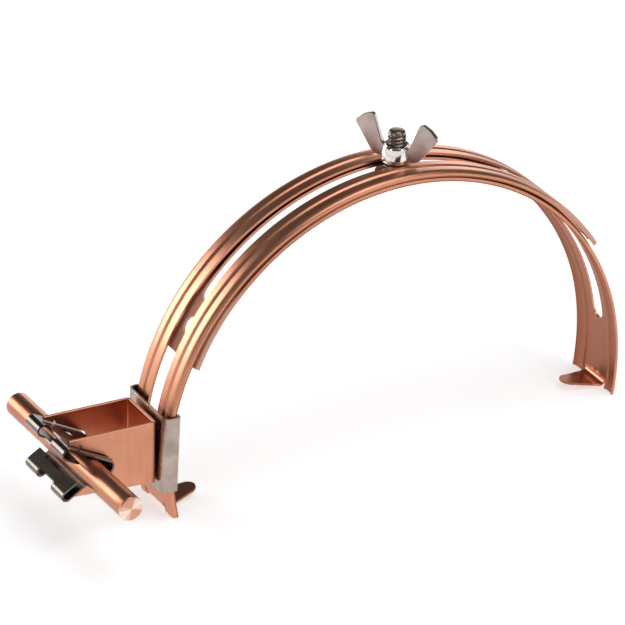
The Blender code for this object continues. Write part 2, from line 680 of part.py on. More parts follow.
def build():
    """Builds every piece in place."""
    for old in list(bpy.data.objects):
        bpy.data.objects.remove(old)
    copper = (0.72, 0.38, 0.25)
    steel = (0.62, 0.57, 0.54)
    axis = plane_point((0, 0), 1.0, CLAMP_ANGLE)
    clamp_base = plane_point(RIGHT_CENTRE, RIGHT_RADIUS, CLAMP_ANGLE)
    left = make_strip("left_strip", LEFT_CENTRE, LEFT_RADIUS, -1, LEFT_TOE_IN)
    right = make_strip("right_strip", RIGHT_CENTRE, RIGHT_RADIUS, 1, RIGHT_TOE_IN)
    bolt = make_bolt(clamp_base, axis)
    nut_base = clamp_base + axis * (NESTING + STRIP_TOP + GAP)
    nut = make_nut(nut_base, axis)
    bracket, plate_outer = make_bracket()
    lean = pi - BRACKET_ANGLE - BOX_TILT
    back_gap = GAP + abs(sin(lean)) * (BOX_HEIGHT / 2 + BOX_RISE)
    back = bracket_point(plate_outer + back_gap, BRACKET_RISE)
    box, rod_centre = make_box(back)
    rivet = make_rivet(plate_outer, back_gap, box)
    clip = make_clip(rod_centre)
    rod = make_rod(rod_centre)
    for obj in (left, right, box, rod, rivet):
        paint(obj, obj.name, copper, 1.0, 0.3)
    for obj in (bolt, nut, bracket, clip):
        paint(obj, obj.name, steel, 1.0, 0.32)
    left_axis = Vector((LEFT_CENTRE[0], 0, LEFT_CENTRE[1]))
    right_axis = Vector((RIGHT_CENTRE[0], 0, RIGHT_CENTRE[1]))
    for obj in (left, bracket, box, rivet, clip, rod, bolt):
        set_origin(obj, left_axis)
    set_origin(right, right_axis)
    set_origin(nut, nut_base)
    bpy.context.view_layer.update()
    centre_on_floor([left, right, bolt, nut, bracket, box, rivet, clip, rod])
    bpy.context.view_layer.update()


build()
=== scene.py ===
"""Roof conductor holder: a ridge arch of two slotted copper strips, clamped by a wing nut, with a
spring-clip holder for a round conductor that slides on the left leg."""
import json
from math import asin, atan2, ceil, cos, pi, radians, sin, tan

import bmesh
import bpy
import numpy as np
from mathutils import Matrix, Vector


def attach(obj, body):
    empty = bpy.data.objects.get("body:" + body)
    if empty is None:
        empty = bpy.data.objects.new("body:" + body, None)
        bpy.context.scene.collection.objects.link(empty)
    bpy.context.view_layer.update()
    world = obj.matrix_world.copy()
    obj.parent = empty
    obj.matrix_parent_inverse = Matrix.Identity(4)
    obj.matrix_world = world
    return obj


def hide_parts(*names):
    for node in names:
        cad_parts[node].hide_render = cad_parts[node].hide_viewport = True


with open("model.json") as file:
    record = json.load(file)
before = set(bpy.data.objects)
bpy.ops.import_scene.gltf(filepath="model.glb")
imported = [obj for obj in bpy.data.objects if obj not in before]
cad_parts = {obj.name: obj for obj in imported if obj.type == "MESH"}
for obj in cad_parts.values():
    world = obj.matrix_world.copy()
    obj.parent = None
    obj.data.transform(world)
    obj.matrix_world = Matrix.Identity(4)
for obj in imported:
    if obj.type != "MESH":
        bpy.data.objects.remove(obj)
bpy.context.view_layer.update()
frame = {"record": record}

# The ridge strips. Half-hard copper strip, rolled with a flat raised top, a groove along each
# side and edges curled down. It is slotted, punched near its free end, bent in at the foot and
# rolled to a circle. The left strip lies over the right one, each on a circle of its own.
MM = 0.001
STRIP_LENGTH = 229.4
STRIP_HALF_WIDTH = 12.04
STRIP_SHEET = 0.9
EDGE_DROP = 0.95
EDGE_CURL = 2.2
GROOVE_CENTRE = 7.2
GROOVE_HALF_WIDTH = 0.8
GROOVE_DEPTH = 0.5
RIGHT_RADIUS = 78.85
LEFT_RADIUS = 82.5
SLOT_HALF_WIDTH = 3.3
SLOT_START = 22.7
SLOT_END = STRIP_LENGTH - 18.5
HOLE_RADIUS = 3.2
HOLE_AT = STRIP_LENGTH - 9.5
FOOT_CUT = 3.0
FOOT_OVERLAP = 0.3
FOOT_LENGTH = 12.0
FOOT_THINNING = 0.1
FOOT_LEVEL = 0.12 + STRIP_SHEET / 2
FOOT_BEND = 1.65
FOOT_HALF_WIDTHS = (5.55, 3.3)
FOOT_TIP_HALF_WIDTH = 0.25
TOE_LENGTH = 38.0
TOE_RUN = 31.0
TOE_IN = {"left": 1.4, "right": 0.3}
TOE_SINK = 0.0593
EDGE_ROUNDING = 0.11
# how far the inner face's grain is set lower, so that the copper finish can paint shade on it
INNER_MARK = 5.0
joint_points = {j["name"]: j["pos_m"] for j in frame["record"]["behaviour"]["joints"]}
STRIP_MIDDLE_Y = joint_points["bolt_in_right_strip"][1] / MM
centres = {
    "right": (joint_points["bolt_in_right_strip"][0] / MM, joint_points["bolt_in_right_strip"][2] / MM),
    "left": (joint_points["left_strip_on_bolt"][0] / MM, joint_points["left_strip_on_bolt"][2] / MM),
}
radii = {"right": RIGHT_RADIUS, "left": LEFT_RADIUS}


def stretch(start, end, step):
    """Even positions from start to end, no further apart than step."""
    return np.linspace(start, end, max(2, ceil(abs(end - start) / step) + 1))


def round_end(tip, centre, steps=10):
    """Positions from a slot's tip to the centre of its round end, even in angle."""
    turn = np.linspace(0, pi / 2, steps + 1)
    return centre + (tip - centre) * np.cos(turn)


def sheet_shell(outer, inner, keep):
    """A closed sheet: two grids of points, faces where keep is true, walls round the kept cells."""
    rows, cols = outer.shape[:2]
    points = np.concatenate([outer.reshape(-1, 3), inner.reshape(-1, 3)])
    index = np.arange(rows * cols).reshape(rows, cols)
    below = index + rows * cols
    cell = [index[:-1, :-1], index[:-1, 1:], index[1:, 1:], index[1:, :-1]]
    deep = [below[:-1, :-1], below[1:, :-1], below[1:, 1:], below[:-1, 1:]]
    faces = [np.stack([c[keep] for c in cell], 1), np.stack([c[keep] for c in deep], 1)]
    ring = np.pad(keep, 1)
    inside = ring[1:-1, 1:-1]
    sides = [
        (inside & ~ring[1:-1, :-2], index[:-1, :-1], index[1:, :-1], below[1:, :-1], below[:-1, :-1]),
        (inside & ~ring[1:-1, 2:], index[1:, 1:], index[:-1, 1:], below[:-1, 1:], below[1:, 1:]),
        (inside & ~ring[:-2, 1:-1], index[:-1, 1:], index[:-1, :-1], below[:-1, :-1], below[:-1, 1:]),
        (inside & ~ring[2:, 1:-1], index[1:, :-1], index[1:, 1:], below[1:, 1:], below[1:, :-1]),
    ]
    faces += [np.stack([corner[open_side] for corner in corners], 1) for open_side, *corners in sides]
    return points, np.concatenate(faces)


def make_piece(name, shells, smooth_angle=40, rounding=0.0, pattern=None):
    """One mesh object from shells: points in mm and arrays of faces; doubles merged, normals outward."""
    points = np.concatenate([shell[0] for shell in shells])
    places = np.concatenate(pattern) if pattern else points
    faces = []
    start = 0
    for shell_points, *shell_faces in shells:
        for same_sided in shell_faces:
            faces += (same_sided + start).tolist()
        start += len(shell_points)
    mesh = bpy.data.meshes.new(name)
    mesh.from_pydata(points * MM, [], faces)
    grain = mesh.attributes.new("grain", "FLOAT_VECTOR", "POINT")
    grain.data.foreach_set("vector", places.astype(np.float32).ravel())
    work = bmesh.new()
    work.from_mesh(mesh)
    bmesh.ops.remove_doubles(work, verts=work.verts, dist=2e-6)
    bmesh.ops.dissolve_degenerate(work, edges=work.edges, dist=1e-6)
    bmesh.ops.recalc_face_normals(work, faces=work.faces)
    for face in work.faces:
        face.smooth = True
    for edge in work.edges:
        edge.smooth = len(edge.link_faces) == 2 and edge.calc_face_angle(0) < radians(smooth_angle)
    work.to_mesh(mesh)
    work.free()
    piece = bpy.data.objects.new(name, mesh)
    bpy.context.scene.collection.objects.link(piece)
    if rounding:
        edge_step = piece.modifiers.new("broken edges", "BEVEL")
        edge_step.width = rounding * MM
        edge_step.segments = 2
        edge_step.limit_method = "ANGLE"
        edge_step.angle_limit = radians(smooth_angle)
        edge_step.use_clamp_overlap = True
        edge_step.harden_normals = True
    return piece


def corner_path(points, corner_radii, step=radians(9)):
    """A polyline with each inner corner replaced by an arc of its radius, in small steps."""
    path = [np.array(points[0], float)]
    for before, corner, after, radius in zip(points, points[1:], points[2:], corner_radii):
        before, corner, after = (np.array(p, float) for p in (before, corner, after))
        way_in = (corner - before) / np.linalg.norm(corner - before)
        way_out = (after - corner) / np.linalg.norm(after - corner)
        turn = atan2(way_in[0] * way_out[1] - way_in[1] * way_out[0], way_in @ way_out)
        start = corner - way_in * radius * tan(abs(turn) / 2)
        spoke_angle = atan2(way_in[1], way_in[0]) - np.sign(turn) * pi / 2
        centre = start - radius * np.array((cos(spoke_angle), sin(spoke_angle)))
        angles = spoke_angle + turn * np.linspace(0, 1, max(3, ceil(abs(turn) / step)) + 1)
        path.extend(centre + radius * np.stack([np.cos(angles), np.sin(angles)], 1))
    path.append(np.array(points[-1], float))
    return np.array(path)


def path_sides(path, thickness):
    """Both faces of a sheet whose middle line is the path: offsets along the mitred normal."""
    ways = np.diff(path, axis=0)
    ways /= np.linalg.norm(ways, axis=1, keepdims=True)
    before = np.concatenate([ways[:1], ways])
    after = np.concatenate([ways, ways[-1:]])
    along = before + after
    along /= np.linalg.norm(along, axis=1, keepdims=True)
    normal = np.stack([-along[:, 1], along[:, 0]], 1)
    reach = thickness / 2 / np.maximum((along * before).sum(1), 0.5)
    return path + normal * reach[:, None], path - normal * reach[:, None]


def slot_half_width(length):
    """Half width of the opening along the blank: foot cut, then the long slot, then the hole."""
    near = np.clip(SLOT_START + SLOT_HALF_WIDTH - length, 0, None)
    far = np.clip(length - SLOT_END + SLOT_HALF_WIDTH, 0, None)
    slot = np.sqrt(np.clip(SLOT_HALF_WIDTH**2 - np.maximum(near, far) ** 2, 0, None))
    hole = np.sqrt(np.clip(HOLE_RADIUS**2 - (length - HOLE_AT) ** 2, 0, None))
    foot = np.where(length < FOOT_CUT - 0.01, GROOVE_CENTRE - GROOVE_HALF_WIDTH, 0)
    return np.maximum(np.maximum(slot, hole), foot)


def section_height(across):
    """Height of the sheet's inner face over its curled edges: flat, cosine groove, quarter ellipse."""
    reach = np.abs(across)
    share = np.clip((reach - GROOVE_CENTRE + GROOVE_HALF_WIDTH) / (2 * GROOVE_HALF_WIDTH), 0, 1)
    groove = GROOVE_DEPTH * (1 - np.cos(2 * pi * share)) / 2
    curl = np.clip((reach - STRIP_HALF_WIDTH + EDGE_CURL) / EDGE_CURL, 0, 1)
    return EDGE_DROP * np.sqrt(1 - curl**2) - groove


def roll_strip(blank, side):
    """The flat blank's length, across and height bent round this strip's circle, its toe leaning in."""
    middle = radii[side] + STRIP_SHEET / 2
    foot = asin((centres[side][1] + TOE_SINK) / (radii[side] + EDGE_DROP + STRIP_SHEET))
    length, across, height = blank[..., 0], blank[..., 1], blank[..., 2]
    travel = -foot + length / middle
    share = np.clip((TOE_LENGTH - length) / TOE_RUN, 0, 1)
    radius = radii[side] + height - TOE_IN[side] * share**2 * (3 - 2 * share)
    angle = travel if side == "right" else pi - travel
    x = centres[side][0] + radius * np.cos(angle)
    z = centres[side][1] + radius * np.sin(angle)
    return np.stack([x, across + STRIP_MIDDLE_Y, z], -1)


def make_strip(side):
    """One strip: the slotted blank and the bent tongue at its foot, both rolled to the circle."""
    lengths = np.concatenate([
        stretch(0, FOOT_CUT - 0.02, 1),
        stretch(FOOT_CUT, SLOT_START, 1)[:-1],
        round_end(SLOT_START, SLOT_START + SLOT_HALF_WIDTH),
        stretch(SLOT_START + SLOT_HALF_WIDTH, SLOT_END - SLOT_HALF_WIDTH, 1)[1:-1],
        round_end(SLOT_END, SLOT_END - SLOT_HALF_WIDTH)[::-1],
        stretch(SLOT_END, HOLE_AT - HOLE_RADIUS, 1)[1:-1],
        round_end(HOLE_AT - HOLE_RADIUS, HOLE_AT),
        round_end(HOLE_AT + HOLE_RADIUS, HOLE_AT)[::-1][1:],
        stretch(HOLE_AT + HOLE_RADIUS, STRIP_LENGTH, 1)[1:],
    ])
    open_half = slot_half_width(lengths)
    groove_start = GROOVE_CENTRE - GROOVE_HALF_WIDTH
    curl_start = STRIP_HALF_WIDTH - EDGE_CURL
    curl = curl_start + EDGE_CURL * np.sin(np.linspace(0, pi / 2, 9))
    fixed = np.concatenate([
        stretch(groove_start, GROOVE_CENTRE + GROOVE_HALF_WIDTH, 0.16),
        stretch(GROOVE_CENTRE + GROOVE_HALF_WIDTH, curl_start, 0.6)[1:-1],
        curl,
    ])
    share = np.linspace(0, 1, 5)[:-1]
    web = open_half[:, None] + (groove_start - open_half[:, None]) * share
    half = np.concatenate([web, np.repeat(fixed[None], len(lengths), 0)], 1)
    across = np.concatenate([-half[:, ::-1], half], 1)
    low = section_height(across)
    along = np.repeat(lengths[:, None], across.shape[1], 1)
    keep = np.ones((across.shape[0] - 1, across.shape[1] - 1), bool)
    middle_column = half.shape[1] - 1
    keep[:, middle_column] = np.maximum(open_half[:-1], open_half[1:]) < 1e-6
    blank_outer = np.stack([along, across, low + STRIP_SHEET], -1)
    blank_inner = np.stack([along, across, low], -1)
    body = sheet_shell(roll_strip(blank_outer, side), roll_strip(blank_inner, side), keep)
    # the inner face's grain is set lower, so that the finish paints shade on it
    marked_inner = blank_inner - (0, 0, INNER_MARK)
    body_grain = np.concatenate([blank_outer.reshape(-1, 3), marked_inner.reshape(-1, 3)])

    # The tongue: out of the web, round the bend, inward to a round tip
    wide, narrow = FOOT_HALF_WIDTHS
    web_middle = EDGE_DROP + STRIP_SHEET / 2
    fold = [(FOOT_CUT + FOOT_OVERLAP, web_middle), (FOOT_LEVEL, web_middle), (FOOT_LEVEL, -FOOT_LENGTH)]
    path = corner_path(fold, [FOOT_BEND])
    bend_end = path[-2][1]
    straight = bend_end + FOOT_LENGTH - narrow
    even = np.linspace(0, 1, 7)[1:]
    tip_turn = np.linspace(0, pi / 2, 11)[1:]
    run = np.concatenate([straight * even, straight + narrow * np.sin(tip_turn)])
    taper = wide + (narrow - wide) * even
    tip = np.maximum(narrow * np.cos(tip_turn), FOOT_TIP_HALF_WIDTH)
    path = np.concatenate([path[:-1], np.stack([np.full(len(run), FOOT_LEVEL), bend_end - run], 1)])
    widths = np.concatenate([np.full(len(path) - len(run), wide), taper, tip])
    shares = np.linspace(-1, 1, 9)
    shape = (len(path), len(shares))
    tongue_faces = []
    for line in path_sides(path, STRIP_SHEET - FOOT_THINNING):
        length = np.broadcast_to(line[:, :1], shape)
        height = np.broadcast_to(line[:, 1:], shape)
        tongue_faces.append(np.stack([length, widths[:, None] * shares, height], -1))
    tongue_keep = np.ones((len(path) - 1, len(shares) - 1), bool)
    tongue = sheet_shell(*(roll_strip(face, side) for face in tongue_faces), tongue_keep)
    tongue_grain = np.concatenate([face.reshape(-1, 3) for face in tongue_faces])
    return make_piece(side + "_strip_rolled", [body, tongue], rounding=EDGE_ROUNDING,
                      pattern=[body_grain, tongue_grain])


class Wire:
    """A socket or a number in a material's maths; operators on it add Math nodes."""

    def __init__(self, finish, socket):
        self.finish = finish
        self.socket = socket

    def maths(self, operation, *others):
        """The result of a Math node on wires and numbers."""
        return self.finish.node("ShaderNodeMath", {"operation": operation}, *others)

    def __add__(self, other):
        return self.maths("ADD", self, other)

    def __radd__(self, other):
        return self.maths("ADD", other, self)

    def __sub__(self, other):
        return self.maths("SUBTRACT", self, other)

    def __rsub__(self, other):
        return self.maths("SUBTRACT", other, self)

    def __mul__(self, other):
        return self.maths("MULTIPLY", self, other)

    def __rmul__(self, other):
        return self.maths("MULTIPLY", other, self)


class Finish:
    """A material with one Principled shader, and the one method that adds its other nodes."""

    def __init__(self, name, **constants):
        self.material = bpy.data.materials.new(name)
        self.material.use_nodes = True
        self.tree = self.material.node_tree
        self.shader = self.tree.nodes["Principled BSDF"]
        for socket, value in constants.items():
            self.shader.inputs[socket.replace("_", " ")].default_value = value

    def node(self, kind, settings, *inputs, out=0, **named):
        """Adds a node: its settings first, then values or wires for its sockets by place or name."""
        made = self.tree.nodes.new(kind)
        for key, value in settings.items():
            if key == "stops":
                ramp = made.color_ramp
                ramp.elements[0].position, ramp.elements[0].color = value[0]
                ramp.elements[1].position, ramp.elements[1].color = value[-1]
                for position, colour in value[1:-1]:
                    ramp.elements.new(position).color = colour
            else:
                setattr(made, key, value)
        for key, value in (*enumerate(inputs), *named.items()):
            socket = made.inputs[key.replace("_", " ") if isinstance(key, str) else key]
            if isinstance(value, Wire):
                self.tree.links.new(value.socket, socket)
            else:
                socket.default_value = value
        return Wire(self, made.outputs[out])

    def feed(self, **sockets):
        """Links wires to the shader's sockets."""
        for key, wire in sockets.items():
            self.tree.links.new(wire.socket, self.shader.inputs[key.replace("_", " ")])

    def stretched_noise(self, place, scale, detail=2.0, roughness=0.5):
        """Noise over a place whose axes are scaled one by one."""
        stretched = self.node("ShaderNodeMapping", {}, Vector=place, Scale=scale)
        shape = {"Scale": 1.0, "Detail": detail, "Roughness": roughness}
        return self.node("ShaderNodeTexNoise", {}, Vector=stretched, **shape)

    def grain(self):
        """Each point's place on its own piece, in millimetres."""
        return self.node("ShaderNodeAttribute", {"attribute_name": "grain"}, out="Vector")

    def ramp(self, value, *stops):
        """A value read off a line through stops of (position, value)."""
        stops = [(position, (level, level, level, 1)) for position, level in stops]
        return self.node("ShaderNodeValToRGB", {"stops": stops}, value)

    def mix(self, share, base, over):
        """Two colours mixed by a share."""
        mixed = self.node("ShaderNodeMix", {"data_type": "RGBA"}, share, out=2)
        for key, value in ((6, base), (7, over)):
            if isinstance(value, Wire):
                self.tree.links.new(value.socket, mixed.socket.node.inputs[key])
            else:
                mixed.socket.node.inputs[key].default_value = value
        return mixed

    def part(self, vector, axis):
        """One of a vector's three numbers."""
        return self.node("ShaderNodeSeparateXYZ", {}, vector, out=axis)


def dress(piece, finish, node, body):
    """Gives the piece its material and puts it in the place of a CAD node, on that node's body."""
    piece.data.materials.clear()
    piece.data.materials.append(finish.material)
    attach(piece, body)
    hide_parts(node)


COPPER = (0.68, 0.30, 0.185, 1)
TARNISH = (0.36, 0.13, 0.07, 1)
# painted shade: a darker, browner copper for the strips' inner face
PAINTED_SHADE_INNER_FACE = (0.29, 0.095, 0.05, 1)
# painted light: a brighter copper for the strips' free end
PAINTED_LIGHT_END_COLOUR = (0.9, 0.46, 0.32, 1)


def copper_finish(name, streak_scale, cloud_scale, roughness):
    """Bare copper: fine streaks along the working direction and soft clouds of tarnish.

    A strip's grain is its place on the blank: the inner face, which INNER_MARK puts lower, has painted
    shade, a darker and browner copper, and the punched free end painted light, a brighter, duller copper.
    """
    finish = Finish(name, Metallic=1.0)
    grain = finish.grain()
    streaks = finish.stretched_noise(grain, streak_scale, detail=4.0, roughness=0.6)
    clouds = finish.stretched_noise(grain, cloud_scale, detail=4.0, roughness=0.6)
    worn = finish.ramp(clouds * 0.65 + streaks * 0.35, (0.36, 0.9), (0.62, 0.0))
    lift = finish.node("ShaderNodeBump", {}, Strength=0.15, Distance=0.00003, Height=streaks)
    # painted shade mask: the inner face, whose grain INNER_MARK sets lower
    inside = finish.ramp(finish.part(grain, 2) * 0.1 + 0.5, (0.2, 1.0), (0.3, 0.0))
    # painted light mask: the free end, from 200 to 210 mm along the blank onward; it is also made rougher
    # and less metallic
    painted_light_end = finish.ramp(finish.part(grain, 0) * 0.004, (0.80, 0.0), (0.84, 1.0))
    bare = finish.mix(worn * 0.35, COPPER, TARNISH)
    finish.feed(
        Base_Color=finish.mix(painted_light_end, finish.mix(inside * 0.8, bare, PAINTED_SHADE_INNER_FACE), PAINTED_LIGHT_END_COLOUR),
        Metallic=1.0 - painted_light_end * 0.85,
        Roughness=streaks * 0.1 + clouds * 0.08 + inside * 0.06 + painted_light_end * 0.3 + roughness,
        Normal=lift,
    )
    return finish


rolled = copper_finish(
    "rolled copper",
    streak_scale=(0.012, 2.2, 0.3),
    cloud_scale=(0.05, 0.16, 0.1),
    roughness=0.24,
)
for side in ("right", "left"):
    dress(make_strip(side), rolled, side + "_strip", side + "_leg")

# The slide bracket. A straight C of plain stainless sheet whose lips hook round both edges of
# the left strip; it is drilled for the rivet that carries the conductor holder.
BRACKET_SHEET = 0.75
BRACKET_ANGLE = radians(175.3)
BRACKET_HALF_HEIGHT = 12.85
BRACKET_RISE = 2.85
BRACKET_BEND = 1.9
LIP_BEND = 1.0
LIP_WIDTH = 2.3
LIP_PLAY = 0.35
BRACKET_HALF_WIDTH = STRIP_HALF_WIDTH + LIP_PLAY + BRACKET_SHEET / 2
GAP = 0.3
RIVET_RADIUS = 2.0
RIVET_HOLE = RIVET_RADIUS + GAP
bracket_out = np.array((cos(BRACKET_ANGLE), sin(BRACKET_ANGLE)))
bracket_up = np.array((bracket_out[1], -bracket_out[0]))
plate_middle = LEFT_RADIUS + EDGE_DROP + STRIP_SHEET + GAP + BRACKET_SHEET / 2
highest_rise = BRACKET_RISE + BRACKET_HALF_HEIGHT
lip_reach = LEFT_RADIUS * cos(asin(highest_rise / LEFT_RADIUS))
lip_middle = lip_reach - TOE_IN["left"] / 4 - GAP - BRACKET_SHEET / 2


def place_in_plane(flat, y):
    """Points from X-Z plane points and their Y over the strips' middle line."""
    flat = np.asarray(flat, float)
    y = np.broadcast_to(np.asarray(y, float), flat.shape[:-1]) + STRIP_MIDDLE_Y
    return np.stack([flat[..., 0], y, flat[..., 1]], -1)


def bracket_place(distance, rise):
    """X and Z of a point this far out from the left circle's centre and this high on the bracket."""
    distance = np.asarray(distance, float)[..., None]
    rise = np.asarray(rise, float)[..., None]
    return np.array(centres["left"]) + distance * bracket_out + rise * bracket_up


def hole_positions(radius, reach, steps=8):
    """Positions along a line through a round hole: even outside it, even in angle inside."""
    inside = -radius * np.cos(np.linspace(0, pi, 2 * steps + 1))
    return np.concatenate([stretch(-reach, -radius, 1.2)[:-1], inside, stretch(radius, reach, 1.2)[1:]])


def circle_half(position, radius):
    """Half height of a round hole at a position along its middle line."""
    return np.sqrt(np.clip(radius**2 - np.asarray(position) ** 2, 0, None))


def make_bracket():
    """The C section carried up the plate, with the rivet's hole as a slit that opens to a circle."""
    wide = BRACKET_HALF_WIDTH
    tip = wide - LIP_WIDTH
    corners = [(-tip, lip_middle), (-wide, lip_middle), (-wide, plate_middle)]
    corners += [(-y, n) for y, n in corners[::-1]]
    path = corner_path(corners, [LIP_BEND, BRACKET_BEND, BRACKET_BEND, LIP_BEND])
    flat_end = wide - BRACKET_BEND
    half = len(path) // 2
    plate = hole_positions(RIVET_HOLE, flat_end)[1:-1]
    plate = np.stack([plate, np.full(len(plate), plate_middle)], 1)
    path = np.concatenate([path[:half], plate, path[half:]])
    on_plate = path[:, 1] > plate_middle - 0.01
    open_half = np.where(on_plate, circle_half(path[:, 0], RIVET_HOLE), 0)
    share = np.linspace(0, 1, 9)
    upper = open_half[:, None] + (BRACKET_HALF_HEIGHT - open_half[:, None]) * share
    rise = np.concatenate([-upper[:, ::-1], upper], 1) + BRACKET_RISE
    keep = np.ones((rise.shape[0] - 1, rise.shape[1] - 1), bool)
    keep[:, len(share) - 1] = np.maximum(open_half[:-1], open_half[1:]) < 1e-6
    faces = []
    for line in path_sides(path, BRACKET_SHEET):
        flat = bracket_place(np.repeat(line[:, 1:], rise.shape[1], 1), rise)
        faces.append(place_in_plane(flat, np.repeat(line[:, :1], rise.shape[1], 1)))
    return make_piece("slide_bracket_formed", [sheet_shell(*faces, keep)], rounding=0.1)


STAINLESS = (0.50, 0.40, 0.355, 1)
SHADE = (0.26, 0.20, 0.17, 1)


def steel_finish(name, base, shade, streak_scale, roughness, dullness=0.1):
    """Stainless steel: brushed lines, a slow change of tone and small dull spots."""
    finish = Finish(name, Metallic=1.0)
    grain = finish.grain()
    lines = finish.stretched_noise(grain, streak_scale, detail=4.0, roughness=0.65)
    slow = finish.stretched_noise(grain, (0.16, 0.16, 0.16), detail=3.0)
    specks = finish.stretched_noise(grain, (1.3, 1.3, 1.3), detail=2.0)
    spots = finish.ramp(specks, (0.6, 0.0), (0.72, 1.0))
    lift = finish.node("ShaderNodeBump", {}, Strength=0.06, Distance=0.00003, Height=lines)
    finish.feed(
        Base_Color=finish.mix(finish.ramp(slow, (0.35, 0.0), (0.7, 0.6)), base, shade),
        Roughness=lines * 0.14 + spots * dullness + roughness,
        Normal=lift,
    )
    return finish


plain_steel = steel_finish(
    "plain stainless sheet",
    base=STAINLESS,
    shade=SHADE,
    streak_scale=(2.4, 2.4, 0.05),
    roughness=0.2,
)
dress(make_bracket(), plain_steel, "slide_bracket", "holder")

# The conductor holder. A U of the same copper sheet, open at the top and bottom, with a flared
# mouth in each side for the conductor and a small notch over it; riveted to the bracket.
BOX_SHEET = 1.0
BOX_DEPTH = 30.1
BOX_HALF_WIDTH = 9.56
BOX_HALF_HEIGHT = 10.55
BOX_TAPER = 1.5
BOX_TILT = radians(2.9)
BOX_RISE = 0.4
BOX_BEND = 0.9
BOX_EDGE = 0.35
ROD_RADIUS = 4.0
CLIP_PLAY = 0.45
CLIP_SHEET = 0.6
CLIP_SLOPE = radians(30)
CLIP_REACH = ROD_RADIUS + CLIP_PLAY + CLIP_SHEET / 2
CLIP_BACK = 7.8
LEVER_START = 1.2
MOUTH_RUN = 16.0
MOUTH_ROUNDING = (1.8, 2.2, 1.5)
NOTCH_ALONG = -4.6
NOTCH_DEPTH = 0.8
NOTCH_HALF_WIDTH = 0.53
ROD_IN_BOX = np.array((-9.85, 0.84))
box_right = np.array((cos(BOX_TILT), -sin(BOX_TILT)))
box_up = np.array((sin(BOX_TILT), cos(BOX_TILT)))
lean_gap = sin(pi - BRACKET_ANGLE - BOX_TILT) * (BOX_HALF_HEIGHT + BOX_RISE)
plate_outside = plate_middle + BRACKET_SHEET / 2
box_back = bracket_place(plate_outside + GAP + lean_gap, BRACKET_RISE)
box_centre = box_back - box_right * BOX_DEPTH / 2 + box_up * BOX_RISE
rod_centre = box_centre + box_right * ROD_IN_BOX[0] + box_up * ROD_IN_BOX[1]


def sloped(along, above):
    """X and Z from the conductor's axis of a point along and above the clip's slope."""
    x = along * cos(CLIP_SLOPE) + above * sin(CLIP_SLOPE)
    z = above * cos(CLIP_SLOPE) - along * sin(CLIP_SLOPE)
    return x, z


def mouth_edges(positions):
    """Lower and upper height of the mouth at positions along the side, both the same past its end."""
    room = CLIP_SHEET / 2 + GAP
    high = CLIP_REACH + room
    back = CLIP_BACK + room
    low_corner = (back - high * sin(CLIP_SLOPE)) / cos(CLIP_SLOPE)
    turn = (-LEVER_START + room * tan(CLIP_SLOPE / 2), -high)
    far = (turn[0] - MOUTH_RUN * cos(CLIP_SLOPE), turn[1] - MOUTH_RUN * sin(CLIP_SLOPE))
    corners = [sloped(-MOUTH_RUN, high), sloped(back, high), (low_corner, -high), turn, far]
    outline = corner_path(corners, MOUTH_ROUNDING, radians(5))
    in_box = ROD_IN_BOX + np.stack([
        outline[:, 0] * cos(BOX_TILT) - outline[:, 1] * sin(BOX_TILT),
        outline[:, 0] * sin(BOX_TILT) + outline[:, 1] * cos(BOX_TILT),
    ], 1)
    end = int(np.argmax(in_box[:, 0]))
    end_x, end_height = in_box[end]
    upper = in_box[: end + 1]
    lower = in_box[end:][::-1]
    top = np.interp(positions, upper[:, 0], upper[:, 1])
    bottom = np.interp(positions, lower[:, 0], lower[:, 1])
    notch_at = ROD_IN_BOX[0] + sloped(NOTCH_ALONG, high)[0]
    top = top + NOTCH_DEPTH * (np.abs(positions - notch_at) < NOTCH_HALF_WIDTH)
    toward_rivet = np.interp(positions, [end_x, BOX_DEPTH / 2 - BOX_BEND], [end_height, -BOX_RISE])
    past = positions >= end_x
    return np.where(past, toward_rivet, bottom), np.where(past, toward_rivet, top), in_box[:, 0], notch_at


